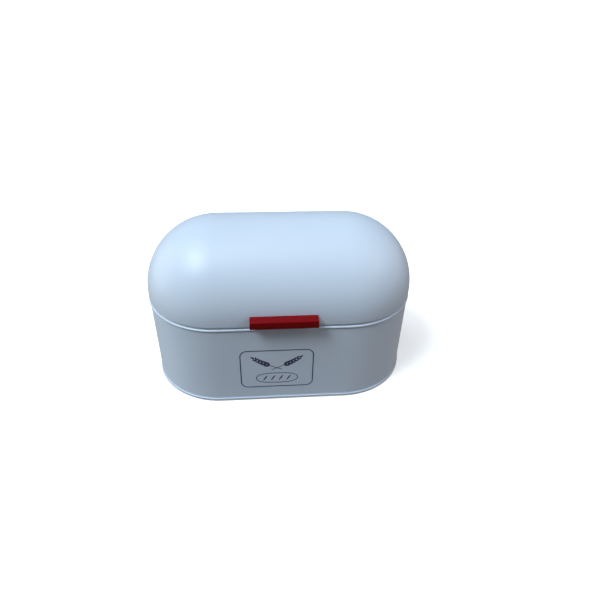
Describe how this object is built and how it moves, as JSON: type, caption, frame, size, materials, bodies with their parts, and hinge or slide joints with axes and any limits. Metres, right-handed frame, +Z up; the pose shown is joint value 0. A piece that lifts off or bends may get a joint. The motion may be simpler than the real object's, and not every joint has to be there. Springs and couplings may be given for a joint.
{
  "type": "bread box",
  "caption": "Oval steel bread box: a straight-walled body on a rimmed base pan, with a domed flip lid hinged at the back and a red pull bar at the front.",
  "frame": {"origin": "on the ground under the middle of the whole object's bounding box", "axes": "+Z up, front with the pull bar facing -Y, long side of the oval along X"},
  "size_m": [0.353, 0.207, 0.2239],
  "materials": {
    "white_enamel": "satin",
    "red_plastic": "satin",
    "zinc_steel": "satin",
    "foot_rubber": "matte",
    "print_ink": "satin"
  },
  "bodies": {
    "body": {"body_wall": "white_enamel", "base_pan": "white_enamel", "foot_front_left": "foot_rubber", "foot_front_right": "foot_rubber", "foot_back_left": "foot_rubber", "foot_back_right": "foot_rubber", "hinge_left_body_leaf": "zinc_steel", "hinge_right_body_leaf": "zinc_steel", "hinge_left_pin": "zinc_steel", "hinge_right_pin": "zinc_steel", "rivet_body_left_inner": "zinc_steel", "rivet_body_left_outer": "zinc_steel", "rivet_body_right_inner": "zinc_steel", "rivet_body_right_outer": "zinc_steel"},
    "lid": {"lid_shell": "white_enamel", "handle": "red_plastic", "handle_screw_left": "zinc_steel", "handle_screw_right": "zinc_steel", "handle_washer_left": "zinc_steel", "handle_washer_right": "zinc_steel", "hinge_left_lid_leaf": "zinc_steel", "hinge_right_lid_leaf": "zinc_steel", "rivet_lid_left_inner": "zinc_steel", "rivet_lid_left_outer": "zinc_steel", "rivet_lid_right_inner": "zinc_steel", "rivet_lid_right_outer": "zinc_steel"}
  },
  "joints": [
    {"name": "lid_hinge", "type": "hinge", "parent": "body", "child": "lid", "pos_m": [0, 0.09653, 0.12385], "axis": [-1, 0, 0], "range_deg": [0, 95]}
  ]
}
